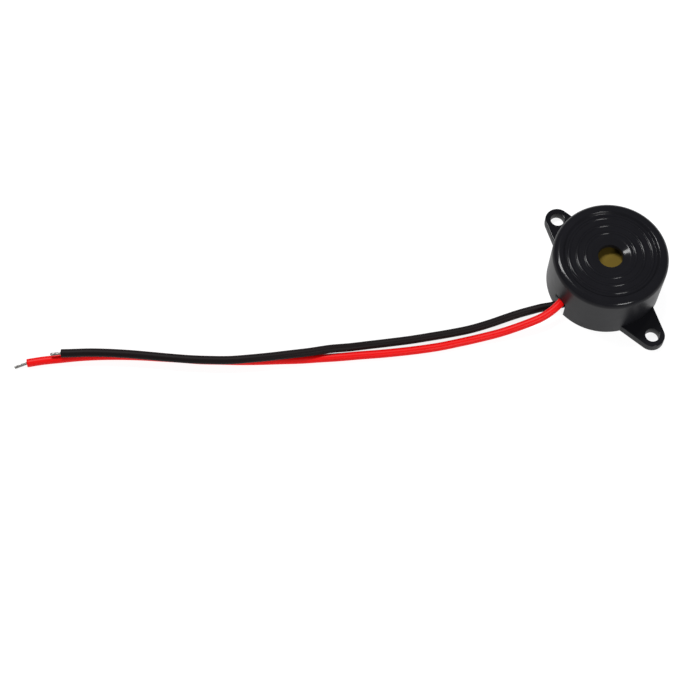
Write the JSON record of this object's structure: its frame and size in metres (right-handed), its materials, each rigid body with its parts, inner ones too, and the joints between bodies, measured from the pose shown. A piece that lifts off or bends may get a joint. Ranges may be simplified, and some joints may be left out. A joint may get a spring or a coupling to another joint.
{
  "type": "piezo buzzer",
  "caption": "Round self-drive piezo buzzer in a glossy black cup with a rippled face, a central sound port, flat screw ears and red and black flying leads.",
  "frame": {"origin": "centre of the cup's foot, on the surface that it is screwed to", "axes": "+Z out through the sounding face, the ears along X, the leads leave towards -Y"},
  "size_m": [0.0651, 0.115, 0.0114],
  "materials": {
    "black_abs": "moulded, polished",
    "brass": "rolled sheet",
    "piezo_ceramic": "fired, lapped",
    "silver_film": "screen-printed silver, matt",
    "silicone": "cured bead",
    "glass_epoxy": "laminate with solder mask",
    "moulding_compound": "transfer moulded",
    "chip_ceramic": "glazed film on alumina",
    "solder": "solidified solder",
    "tinned_copper": "tinned strands",
    "potting_epoxy": "poured and cured, satin",
    "red_pvc": "extruded",
    "black_pvc": "extruded"
  },
  "bodies": {
    "root": {"housing": "black_abs", "diaphragm_plate": "brass", "piezo_ceramic": "piezo_ceramic", "main_electrode": "silver_film", "feedback_electrode": "silver_film", "disc_adhesive": "silicone", "circuit_board": "glass_epoxy", "board_pads": "solder", "transistor": "moulding_compound", "base_resistor": "chip_ceramic", "feedback_resistor": "chip_ceramic", "load_resistor": "chip_ceramic", "plate_jumper": "tinned_copper", "drive_jumper": "tinned_copper", "feedback_jumper": "tinned_copper", "disc_solder_dots": "solder", "board_solder_joints": "solder", "red_conductor_root": "tinned_copper", "black_conductor_root": "tinned_copper", "potting": "potting_epoxy", "red_lead": "red_pvc", "black_lead": "black_pvc", "red_conductor_tip": "tinned_copper", "black_conductor_tip": "tinned_copper"}
  },
  "joints": []
}
